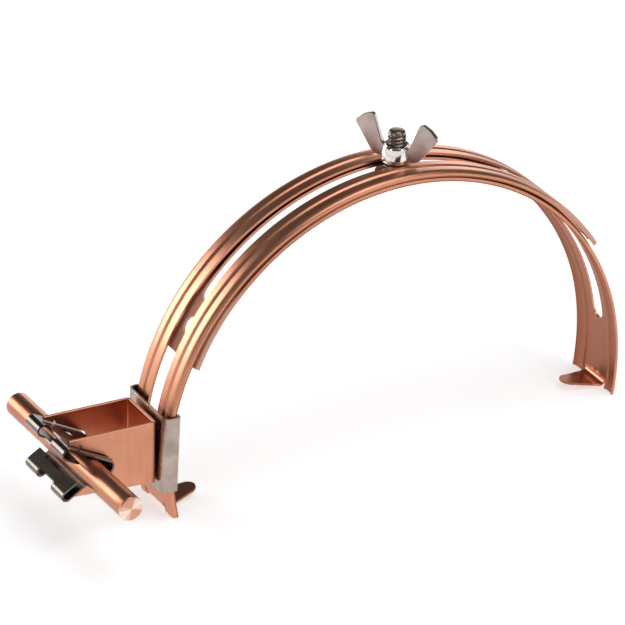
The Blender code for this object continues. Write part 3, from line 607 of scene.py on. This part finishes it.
def make_box():
    """The U path round the holder, each column split at the mouth, or at the rivet's hole behind."""
    far = BOX_DEPTH / 2 - BOX_SHEET / 2
    wide = BOX_HALF_WIDTH - BOX_SHEET / 2
    bend_start = far - BOX_BEND
    *_, outline_x, notch_at = mouth_edges(np.zeros(1))
    marks = [stretch(-BOX_DEPTH / 2, bend_start, 0.8)]
    marks.append(outline_x[(outline_x > -BOX_DEPTH / 2 + 0.05) & (outline_x < bend_start - 0.2)])
    notch_walls = NOTCH_HALF_WIDTH + np.array((-0.01, 0.02))
    marks += [notch_at - notch_walls, notch_at + notch_walls]
    side_x = np.unique(np.round(np.concatenate(marks), 3))
    side_x = side_x[np.concatenate([[True], np.diff(side_x) > 0.015])]
    turn = np.linspace(0, pi / 2, 9)[1:-1]
    bend = np.stack([bend_start + BOX_BEND * np.sin(turn), -wide + BOX_BEND * (1 - np.cos(turn))], 1)
    across = hole_positions(RIVET_HOLE, wide - BOX_BEND)
    near = np.stack([side_x, np.full(len(side_x), -wide)], 1)
    behind = np.stack([np.full(len(across), far), across], 1)
    path = np.concatenate([near, bend, behind, bend[::-1] * (1, -1), near[::-1] * (1, -1)])
    low, high, *_ = mouth_edges(path[:, 0])
    on_back = path[:, 0] > far - 0.01
    low = np.where(on_back, -BOX_RISE - circle_half(path[:, 1], RIVET_HOLE), low)
    high = np.where(on_back, -BOX_RISE + circle_half(path[:, 1], RIVET_HOLE), high)
    bottom = -BOX_HALF_HEIGHT + BOX_TAPER * (0.5 - path[:, 0] / BOX_DEPTH)
    share = np.linspace(0, 1, 9)
    lower = bottom[:, None] + (low - bottom)[:, None] * share
    upper = high[:, None] + (BOX_HALF_HEIGHT - BOX_EDGE - high)[:, None] * share
    edge_turn = np.linspace(0, pi / 2, 6)[1:]
    edge = np.repeat(BOX_HALF_HEIGHT - BOX_EDGE * (1 - np.sin(edge_turn))[None], len(path), 0)
    height = np.concatenate([lower, upper, edge], 1)
    drawn_in = np.concatenate([np.zeros(2 * len(share)), BOX_EDGE * (1 - np.cos(edge_turn))])
    open_height = high - low
    keep = np.ones((height.shape[0] - 1, height.shape[1] - 1), bool)
    keep[:, len(share) - 1] = np.maximum(open_height[:-1], open_height[1:]) < 1e-4
    faces = []
    for line in path_sides(path, BOX_SHEET):
        spot = line[:, None] + (path - line)[:, None] * (drawn_in / (BOX_SHEET / 2))[None, :, None]
        flat = box_centre + spot[..., :1] * box_right + height[..., None] * box_up
        faces.append(place_in_plane(flat, spot[..., 1]))
    return make_piece("holder_box_folded", [sheet_shell(*faces, keep)], rounding=0.1)


folded = copper_finish(
    "folded copper",
    streak_scale=(1.1, 1.1, 0.06),
    cloud_scale=(0.07, 0.07, 0.07),
    roughness=0.22,
)
dress(make_box(), folded, "holder_box", "holder")

# The spring clip. One piece of bright spring steel: a hook over the conductor, a back bend, the
# run below the conductor and a lever with a folded-back flap, pierced in the same tool.
CLIP_HALF_WIDTH = 13.0
HOOK_REACH = 11.35
HOOK_BEND = 1.74
HOOK_LIP_END = 4.6
LEVER_LENGTH = 7.0
LEVER_BEND = 1.5
LEVER_FLAP = 6.5
BACK_BENDS = (1.9, 2.0, 2.0)
HOOK_CUT = 4.7
WINDOW_CUT = (1.8, 5.8)
LEVER_CUT = 5.2
FLAP_CUT = 7.0


def fill_path(path, step):
    """The same path with points added so that none are further apart than step."""
    runs = []
    for start, end in zip(path, path[1:]):
        pieces = max(1, ceil(np.linalg.norm(end - start) / step))
        runs.append(np.linspace(start, end, pieces + 1)[:-1])
    return np.concatenate(runs + [path[-1:]])


def make_clip():
    """The bent line carried across the holder; cells of its grid are left out at each cut-out."""
    slope_way = np.array((-cos(CLIP_SLOPE), -sin(CLIP_SLOPE)))
    over = np.array((-sin(CLIP_SLOPE), cos(CLIP_SLOPE)))
    back_corner = (CLIP_BACK - CLIP_REACH * sin(CLIP_SLOPE)) / cos(CLIP_SLOPE)
    hook_low = CLIP_REACH - 2 * HOOK_BEND
    lever_start = np.array((-LEVER_START, -CLIP_REACH))
    lever_end = lever_start + slope_way * (LEVER_LENGTH + LEVER_BEND)
    lever_turn = lever_end + over * 2 * LEVER_BEND
    corners = [
        sloped(-HOOK_LIP_END, hook_low),
        sloped(-HOOK_REACH, hook_low),
        sloped(-HOOK_REACH, CLIP_REACH),
        sloped(CLIP_BACK, CLIP_REACH),
        (back_corner, -CLIP_REACH),
        lever_start,
        lever_end,
        lever_turn,
        lever_turn - slope_way * LEVER_FLAP,
    ]
    bends = [HOOK_BEND, HOOK_BEND, *BACK_BENDS, LEVER_BEND, LEVER_BEND]
    path = fill_path(corner_path(corners, bends), 0.3)
    along = path[:, 0] * cos(CLIP_SLOPE) - path[:, 1] * sin(CLIP_SLOPE)
    above = path[:, 0] * sin(CLIP_SLOPE) + path[:, 1] * cos(CLIP_SLOPE)
    lever_run = (path - lever_end) @ slope_way
    lever_lift = (path - lever_end) @ over
    borders = [CLIP_HALF_WIDTH, FLAP_CUT, WINDOW_CUT[1], LEVER_CUT, HOOK_CUT, WINDOW_CUT[0]]
    lines = np.array([-b for b in borders] + borders[::-1])
    middle = np.abs(lines[:-1] + lines[1:]) / 2
    # Rows of the grid that cross each cut-out, by where they lie on the bent line
    on_hook = (along < -HOOK_REACH + 2.8) & (above > hook_low - 0.9) & (above < CLIP_REACH + 1)
    on_window = (along > -3.2) & (along < -0.8) & (np.abs(above - CLIP_REACH) < 0.5)
    on_lever = (lever_run > -2.3) & (lever_lift > -1) & (lever_lift < 4) & (path[:, 1] < -CLIP_REACH + 0.5)
    near_end = np.arange(len(path)) > len(path) - 30
    on_flap = near_end & (lever_run < -LEVER_FLAP + 1.3) & (lever_lift > 2.5)
    cuts = [
        (on_hook, middle < HOOK_CUT),
        (on_window, (middle > WINDOW_CUT[0]) & (middle < WINDOW_CUT[1])),
        (on_lever, middle < LEVER_CUT),
        (on_flap, middle < FLAP_CUT),
    ]
    keep = np.ones((len(path) - 1, len(lines) - 1), bool)
    for rows, columns in cuts:
        keep &= ~((rows[:-1] & rows[1:])[:, None] & columns[None])
    faces = []
    for line in path_sides(path, CLIP_SHEET):
        flat = rod_centre + np.repeat(line[:, None], len(lines), 1)
        faces.append(place_in_plane(flat, np.broadcast_to(lines, flat.shape[:2])))
    return make_piece("spring_clip_bent", [sheet_shell(*faces, keep)], smooth_angle=45, rounding=0.07)


SPRING_STEEL = (0.18, 0.15, 0.13, 1)
SPRING_SHADE = (0.11, 0.09, 0.075, 1)
spring = steel_finish(
    "bright spring steel",
    base=SPRING_STEEL,
    shade=SPRING_SHADE,
    streak_scale=(0.2, 0.2, 0.2),
    roughness=0.15,
    dullness=0.0,
)
dress(make_clip(), spring, "spring_clip", "holder")

# The conductor. A short piece of 8 mm round copper, drawn bright, its ends faced in a lathe, laid
# in the clip a little out of line with the ridge.
ROD_LENGTH = 77.8
ROD_YAW = radians(1.2)
ROD_SHIFT = -1.8
ROD_CHAMFER = 0.4
CUT_COPPER = (0.66, 0.33, 0.22, 1)
# painted sheen: the pale copper of the fans of light on the faced end
PAINTED_SHEEN_COPPER = (0.95, 0.74, 0.6, 1)


def turned_shell(profile, base, along, up, segments=96, closed=False):
    """A profile of radius and height turned round an axis: ring points by cosine and sine."""
    profile = np.asarray(profile, float)
    across = np.cross(along, up)
    angles = 2 * pi * np.arange(segments) / segments
    spokes = np.cos(angles)[:, None] * along + np.sin(angles)[:, None] * across
    points = base + profile[:, 1][:, None, None] * up + profile[:, 0][:, None, None] * spokes[None]
    index = np.arange(len(profile) * segments).reshape(len(profile), segments)
    following = np.roll(index, -1, 1)
    pairs = slice(None, -1)
    quads = np.stack([index[pairs], following[pairs], following[1:], index[1:]], -1).reshape(-1, 4)
    if closed:
        quads = np.concatenate([quads, np.stack([index[-1], following[-1], following[0], index[0]], -1)])
    return points.reshape(-1, 3), quads


def make_rod():
    """A bar turned on its axis, with a small rounded chamfer at each end and flat faces."""
    axis = np.array((sin(ROD_YAW), -cos(ROD_YAW), 0))
    base = place_in_plane(rod_centre, ROD_SHIFT) - axis * ROD_LENGTH / 2
    chamfer = np.linspace(0, pi / 2, 5)
    flat = ROD_RADIUS - ROD_CHAMFER
    end = [(0, 0)] + [(r, 0) for r in stretch(0.5, flat, 0.5)]
    end += [(flat + ROD_CHAMFER * sin(a), ROD_CHAMFER - ROD_CHAMFER * cos(a)) for a in chamfer[1:]]
    body = [(ROD_RADIUS, h) for h in stretch(ROD_CHAMFER, ROD_LENGTH - ROD_CHAMFER, 4)[1:-1]]
    profile = end + body + [(r, ROD_LENGTH - h) for r, h in end[::-1]]
    side = np.array((cos(ROD_YAW), sin(ROD_YAW), 0))
    points, faces = turned_shell(profile, base, side, axis)
    on_rod = (points - base) @ np.stack([side, np.cross(side, axis), axis]).T
    return make_piece("conductor_rod_drawn", [(points, faces)], smooth_angle=30, pattern=[on_rod])


def drawn_finish():
    """Drawn lines along the bar; on its near face the lathe's rings and painted fans of light."""
    finish = Finish("drawn copper", Metallic=1.0)
    grain = finish.grain()
    lines = finish.stretched_noise(grain, (1.5, 1.5, 0.012), detail=4.0, roughness=0.6)
    clouds = finish.stretched_noise(grain, (0.2, 0.2, 0.07), detail=4.0)
    x, y, along = (finish.part(grain, k) for k in range(3))
    face = finish.ramp((along - 1.0) * (1 / ROD_LENGTH), (0.974, 0.0), (0.982, 1.0))
    # painted sheen: fans of pale copper laid on by angle round the face, standing in for the light its
    # rings throw
    angle = finish.node("ShaderNodeMath", {"operation": "ARCTAN2"}, y, x)
    fans = finish.node("ShaderNodeMath", {"operation": "COSINE"}, angle * 2.0 + 0.9) * 0.5 + 0.5
    fine_fans = finish.node("ShaderNodeMath", {"operation": "COSINE"}, angle * 11.0 + clouds * 9.0) * 0.12
    painted_sheen = finish.ramp(fans + fine_fans, (0.35, 0.0), (0.95, 1.0))
    radius = finish.node("ShaderNodeMath", {"operation": "SQRT"}, x * x + y * y)
    rings = finish.node("ShaderNodeMath", {"operation": "SINE"}, radius * 16.0)
    worn = finish.ramp(clouds * 0.6 + lines * 0.4, (0.36, 0.8), (0.62, 0.25))
    drawn = finish.mix(worn, COPPER, TARNISH)
    turned = finish.mix(painted_sheen, CUT_COPPER, PAINTED_SHEEN_COPPER)
    height = lines * (1.0 - face) + rings * face * 0.4
    lift = finish.node("ShaderNodeBump", {}, Strength=0.14, Distance=0.00003, Height=height)
    finish.feed(
        Base_Color=finish.mix(face, drawn, turned),
        Roughness=lines * 0.14 + 0.26,
        Normal=lift,
    )
    return finish


dress(make_rod(), drawn_finish(), "conductor_rod", "holder")

# The rivet. Copper, its flat head inside the holder and its other end closed flush in the
# bracket's countersunk hole.
RIVET_HEAD_RADIUS = 3.3
RIVET_HEAD_HEIGHT = 1.2
RIVET_FLUSH_RADIUS = 2.25
ALONG_RIDGE = np.array((0.0, 1.0, 0.0))


def make_rivet():
    """The rivet's profile turned on the bracket's outward line, from the flush end to the head."""
    axis = np.array((bracket_out[0], 0, bracket_out[1]))
    base = place_in_plane(bracket_place(plate_outside - BRACKET_SHEET, BRACKET_RISE), 0)
    top = BRACKET_SHEET + GAP + lean_gap + BOX_SHEET + 1.5 * GAP
    rim = 0.15
    profile = [(0, 0), (RIVET_FLUSH_RADIUS, 0), (RIVET_RADIUS, BRACKET_SHEET), (RIVET_RADIUS, top)]
    profile += [(RIVET_HEAD_RADIUS - 0.1, top), (RIVET_HEAD_RADIUS, top + rim)]
    dome = np.linspace(0, pi / 2, 10)[1:]
    profile += [(RIVET_HEAD_RADIUS * cos(a), top + rim + (RIVET_HEAD_HEIGHT - rim) * sin(a)) for a in dome]
    rivet = turned_shell(profile, base, ALONG_RIDGE, axis, 64)
    return make_piece("holder_rivet_closed", [rivet], smooth_angle=50)


dress(make_rivet(), folded, "holder_rivet", "holder")

# The clamp bolt. Stainless M6: a domed head under the right strip, a square neck that runs in the
# slots, and a rolled thread with a rounded end.
NESTING = 1.55
CLAMP_ANGLE = radians(86.1)
BOLT_RADIUS = 2.9
BOLT_END_ROUNDING = 0.75
HEAD_RADIUS = 6.5
HEAD_DOME = 2.6
THREAD_PITCH = 1.15
THREAD_DEPTH = 0.6
THREAD_RUNOUT = 0.25
bolt_axis = np.array((cos(CLAMP_ANGLE), 0, sin(CLAMP_ANGLE)))
bolt_side = np.array((sin(CLAMP_ANGLE), 0, -cos(CLAMP_ANGLE)))
clamp_spot = np.array(centres["right"]) + RIGHT_RADIUS * bolt_axis[[0, 2]]
bolt_base = place_in_plane(clamp_spot, 0)
HEAD_TOP = -0.15
NECK_TOP = NESTING + EDGE_DROP + STRIP_SHEET - 1.6
BOLT_TOP = 10.5 + NESTING + EDGE_DROP + STRIP_SHEET


def make_thread():
    """The threaded end: radius falls and rises with height less turn over pitch, flat crests."""
    segments = 72
    thread_top = BOLT_TOP - BOLT_END_ROUNDING
    angles = np.linspace(0, 2 * pi, segments + 1)
    rows = np.arange(NECK_TOP - THREAD_PITCH, thread_top + THREAD_PITCH / 14, THREAD_PITCH / 14)
    heights = np.clip(rows[:, None] + THREAD_PITCH * angles[None] / (2 * pi), NECK_TOP, thread_top)
    turns = heights / THREAD_PITCH - angles[None] / (2 * pi)
    wave = np.abs(2 * (turns % 1) - 1)
    cut = THREAD_DEPTH * np.clip((wave - 0.14) / 0.74, 0, 1)
    fade = np.clip((thread_top - heights) / (0.8 * THREAD_PITCH), 0, 1)
    rounding = np.linspace(0, pi / 2, 7)[1:]
    flat = BOLT_RADIUS - THREAD_RUNOUT - BOLT_END_ROUNDING
    end = np.append(flat + BOLT_END_ROUNDING * np.cos(rounding), 0)
    end_height = np.append(thread_top + BOLT_END_ROUNDING * np.sin(rounding), BOLT_TOP)
    thread = BOLT_RADIUS - cut * fade - THREAD_RUNOUT * (1 - fade)
    radius = np.concatenate([thread, np.repeat(end[:, None], segments + 1, 1)])
    height = np.concatenate([heights, np.repeat(end_height[:, None], segments + 1, 1)])
    spokes = np.cos(angles)[:, None] * bolt_side + np.sin(angles)[:, None] * ALONG_RIDGE
    points = bolt_base + height[..., None] * bolt_axis + radius[..., None] * spokes[None]
    index = np.arange(points.shape[0] * (segments + 1)).reshape(-1, segments + 1)
    quads = np.stack([index[:-1, :-1], index[:-1, 1:], index[1:, 1:], index[1:, :-1]], -1)
    underside = index[:1, :-1][:, ::-1]
    return points.reshape(-1, 3), quads.reshape(-1, 4), underside


def make_bolt():
    """Domed head, square neck and thread in one piece."""
    dome = np.linspace(0, pi / 2, 12)
    profile = [(HEAD_RADIUS * sin(a), HEAD_TOP - 0.4 - HEAD_DOME * cos(a)) for a in dome]
    profile += [(HEAD_RADIUS, HEAD_TOP - 0.15), (HEAD_RADIUS - 0.15, HEAD_TOP), (0, HEAD_TOP)]
    head = turned_shell(profile, bolt_base, bolt_side, bolt_axis, 72)
    half = SLOT_HALF_WIDTH - GAP
    ring = np.array([(-half, -half), (half, -half), (half, half), (-half, half)])
    flat = ring[:, :1] * bolt_side + ring[:, 1:] * ALONG_RIDGE
    ends = (HEAD_TOP - 0.2, NECK_TOP + 0.02)
    neck_points = np.concatenate([bolt_base + flat + height * bolt_axis for height in ends])
    neck_sides = [(0, 1, 5, 4), (1, 2, 6, 5), (2, 3, 7, 6), (3, 0, 4, 7)]
    neck_faces = np.array(neck_sides + [(3, 2, 1, 0), (4, 5, 6, 7)])
    shells = [head, (neck_points, neck_faces), make_thread()]
    return make_piece("clamp_bolt_threaded", shells, smooth_angle=50)


BOLT_STEEL = (0.27, 0.22, 0.18, 1)
BOLT_SHADE = (0.16, 0.13, 0.11, 1)
bolt_steel = steel_finish(
    "rolled thread steel",
    base=BOLT_STEEL,
    shade=BOLT_SHADE,
    streak_scale=(0.4, 0.4, 0.4),
    roughness=0.13,
)
dress(make_bolt(), bolt_steel, "clamp_bolt", "clamp")

# The wing nut. Cast stainless, polished: a coned hub with a tapped bore and two flared wings with
# rounded rims, turned slantwise to the strips.
NUT_BORE = 2.9 + GAP
NUT_HEIGHT = 5.4
NUT_BASE = 4.9
NUT_TOP = 4.1
WING_ANGLE = radians(-58)
WING_THICKNESS = 1.9
WING_SPAN = 14.8
WING_TOP = 14.5
WING_RIM = 0.3
WING_FOOT = 0.25
nut_base = np.array(joint_points["wing_nut_turn"]) / MM


def make_wing(outward):
    """A flat blade whose rim is rounded: its outline drawn in along its normals, ring by ring."""
    inner = NUT_BORE + WING_FOOT
    corners = [
        (inner, 0.6),
        (0.52 * WING_SPAN, 0.4),
        (WING_SPAN, 0.71 * WING_TOP),
        (0.81 * WING_SPAN, 0.89 * WING_TOP),
        (0.57 * WING_SPAN, WING_TOP),
        (0.33 * WING_SPAN, 0.33 * WING_TOP),
        (inner, 0.28 * WING_TOP),
    ]
    path = fill_path(corner_path(corners, [4.5, 1.2, 5.0, 1.3, 4.0], radians(6)), 0.5)
    inner_edge = stretch(0, 1, 0.3)[1:-1, None] * (path[0] - path[-1]) + path[-1]
    outline = np.concatenate([path, inner_edge])
    ways = np.roll(outline, -1, 0) - np.roll(outline, 1, 0)
    ways /= np.linalg.norm(ways, axis=1, keepdims=True)
    inward = np.stack([-ways[:, 1], ways[:, 0]], 1)
    turn = np.linspace(0, pi / 2, 6)
    depth = WING_RIM * (1 - np.sin(turn))
    lift = WING_THICKNESS / 2 - WING_RIM * (1 - np.cos(turn))
    depth = np.concatenate([depth, depth[::-1]])[:, None, None]
    lift = np.concatenate([lift, -lift[::-1]])[:, None, None]
    spot = outline[None] + inward[None] * depth
    thinning = 1.0 - 0.25 * spot[..., 1:] / WING_TOP
    across = np.cross(bolt_axis, outward)
    blade = nut_base + spot[..., :1] * outward + spot[..., 1:] * bolt_axis
    rings = blade + lift * thinning * across
    share = np.broadcast_to(lift * 2 / WING_THICKNESS, thinning.shape)
    on_wing = np.concatenate([spot, share], -1)
    index = np.arange(rings.size // 3).reshape(rings.shape[:2])
    following = np.roll(index, -1, 1)
    quads = np.stack([index[:-1], following[:-1], following[1:], index[1:]], -1)
    caps = np.stack([index[0][::-1], index[-1]])
    return (rings.reshape(-1, 3), quads.reshape(-1, 4), caps), on_wing.reshape(-1, 3)


def make_nut():
    """Hub profile turned on the bolt's axis, and a wing to each side."""
    profile = [
        (NUT_BORE, 0.3),
        (NUT_BORE + 0.3, 0),
        (NUT_BASE - 0.4, 0),
        (NUT_BASE - 0.1, 0.12),
        (NUT_BASE, 0.4),
        (NUT_BASE - 0.02, 1.3),
        (NUT_TOP + 0.2, NUT_HEIGHT - 0.8),
        (NUT_TOP + 0.05, NUT_HEIGHT - 0.35),
        (NUT_TOP - 0.25, NUT_HEIGHT),
        (NUT_BORE + 0.35, NUT_HEIGHT),
        (NUT_BORE, NUT_HEIGHT - 0.3),
    ]
    hub = turned_shell(profile, nut_base, bolt_side, bolt_axis, 96, closed=True)
    shells = [hub]
    on_nut = [np.zeros_like(hub[0])]
    for turn in (WING_ANGLE, WING_ANGLE + pi):
        wing, on_wing = make_wing(cos(turn) * bolt_side + sin(turn) * ALONG_RIDGE)
        shells.append(wing)
        on_nut.append(on_wing)
    return make_piece("wing_nut_cast", shells, smooth_angle=45, pattern=on_nut)


SATIN = (0.52, 0.42, 0.39, 1)
SATIN_SHADE = (0.34, 0.27, 0.25, 1)
# the hub's bright polish, and the painted highlight along the middle of each wing's rim
POLISHED_AND_RIM_HIGHLIGHT = (0.86, 0.80, 0.77, 1)
# painted shade: dark lines along the rounded turns of each wing's rim
PAINTED_RIM_SHADE = (0.13, 0.1, 0.09, 1)


def cast_finish():
    """Cast steel: satin pitted wings, bright hub; each rim a painted highlight between painted shade."""
    finish = Finish("cast stainless steel", Metallic=1.0)
    grain = finish.grain()
    share = finish.node("ShaderNodeMath", {"operation": "ABSOLUTE"}, finish.part(grain, 2))
    wing = finish.ramp(share, (0.8, 0.0), (0.99, 1.0))
    pits = finish.stretched_noise(grain, (2.2, 2.2, 2.2), detail=3.0)
    slow = finish.stretched_noise(grain, (0.22, 0.22, 0.22), detail=3.0)
    lift = finish.node("ShaderNodeBump", {}, Strength=0.3, Distance=0.00003, Height=pits * wing)
    satin = finish.mix(finish.ramp(slow, (0.35, 0.0), (0.7, 0.7)), SATIN, SATIN_SHADE)
    # painted highlight on each rim's side face and painted shade at its rounded turns; the hub takes the
    # bright polish
    polished = finish.mix(finish.ramp(share, (0.5, 0.0), (0.66, 1.0)), POLISHED_AND_RIM_HIGHLIGHT, PAINTED_RIM_SHADE)
    finish.feed(
        Base_Color=finish.mix(wing, polished, satin),
        Roughness=wing * 0.2 + pits * 0.08 + 0.06,
        Normal=lift,
    )
    return finish


dress(make_nut(), cast_finish(), "wing_nut", "nut")

# The studio. A white table, soft boxes over, beside and behind the piece, and a sky that is white
# at the horizon and dark higher up, so that the metal has both to reflect.
scene = bpy.context.scene
floor_mesh = bpy.data.meshes.new("floor")
floor_mesh.from_pydata([(-3, -3, 0), (3, -3, 0), (3, 3, 0), (-3, 3, 0)], [], [(0, 1, 2, 3)])
floor = bpy.data.objects.new("floor", floor_mesh)
scene.collection.objects.link(floor)
paper = Finish("white paper", Base_Color=(0.93, 0.93, 0.93, 1), Roughness=0.9)
camera_ray, glossy_ray, through_ray = (
    paper.node("ShaderNodeLightPath", {}, out=ray)
    for ray in ("Is Camera Ray", "Is Glossy Ray", "Is Transmission Ray")
)
seen = camera_ray + glossy_ray + through_ray
paper.feed(Emission_Color=paper.mix(seen, (0, 0, 0, 1), (0.52, 0.52, 0.52, 1)))
paper.shader.inputs["Emission Strength"].default_value = 1.0
floor_mesh.materials.append(paper.material)

camera_data = bpy.data.cameras.new("camera")
camera_data.sensor_width = 36
camera_data.lens = 293.74
camera_data.clip_end = 20
camera = bpy.data.objects.new("camera", camera_data)
scene.collection.objects.link(camera)
right = (0.8817700741, -0.4711632295, -0.0220623547)
up = (0.2371032211, 0.4023269721, 0.8842596169)
back = (-0.4077543364, -0.7849447233, 0.4664742034)
camera_place = Matrix.Translation((-0.657826, -1.254717, 0.799186))
camera.matrix_world = camera_place @ Matrix((right, up, back)).transposed().to_4x4()
scene.camera = camera


class Sky(Finish):
    """The world's light, made with the same method as a material."""

    def __init__(self, name):
        self.world = bpy.data.worlds.new(name)
        self.world.use_nodes = True
        self.tree = self.world.node_tree
        self.shader = self.tree.nodes["Background"]


sky = Sky("studio")
scene.world = sky.world
height = sky.part(sky.node("ShaderNodeTexCoord", {}, out="Generated"), 2)
sky.feed(Color=sky.ramp(height, (0.0, 0.95), (0.12, 0.85), (0.3, 0.12), (0.6, 0.06), (0.9, 0.2)))


def softbox(name, place, size, brightness):
    """A square area lamp at a place, turned to the piece, of a brightness where 1 is white."""
    lamp = bpy.data.lights.new(name, "AREA")
    lamp.shape = "RECTANGLE"
    lamp.size, lamp.size_y = size
    lamp.energy = brightness * pi * size[0] * size[1]
    holder = bpy.data.objects.new(name, lamp)
    scene.collection.objects.link(holder)
    holder.location = place
    holder.rotation_euler = (Vector((0, 0, 0.05)) - Vector(place)).to_track_quat("-Z", "Y").to_euler()


# A dark card flat on the table, which only the metal's gloss sees: the fronts reflect it
card_corners = [(-0.26, -0.24, 0.001), (-0.75, -1.4, 0.001), (0.35, -1.6, 0.001), (0.0, -0.3, 0.001)]
card_mesh = bpy.data.meshes.new("dark_card")
card_mesh.from_pydata(card_corners, [], [(0, 1, 2, 3)])
card = bpy.data.objects.new("dark_card", card_mesh)
scene.collection.objects.link(card)
card.visible_camera = False
card.visible_diffuse = False
card.visible_shadow = False
card_mesh.materials.append(Finish("black card", Base_Color=(0.02, 0.02, 0.02, 1), Roughness=0.9).material)

softbox("overhead", place=(0.2, -0.2, 1.0), size=(0.8, 0.6), brightness=2.4)
softbox("right_and_behind", place=(0.62, 0.87, 0.29), size=(0.4, 0.36), brightness=1.6)
softbox("left_and_behind", place=(-0.62, 0.87, 0.33), size=(0.4, 0.5), brightness=5.6)
softbox("left_of_the_camera", place=(-1.2, -0.35, 0.6), size=(0.35, 0.7), brightness=1.6)
softbox("right_of_the_camera", place=(0.55, -1.2, 0.6), size=(0.35, 0.7), brightness=2.6)

scene.view_settings.view_transform = "Standard"
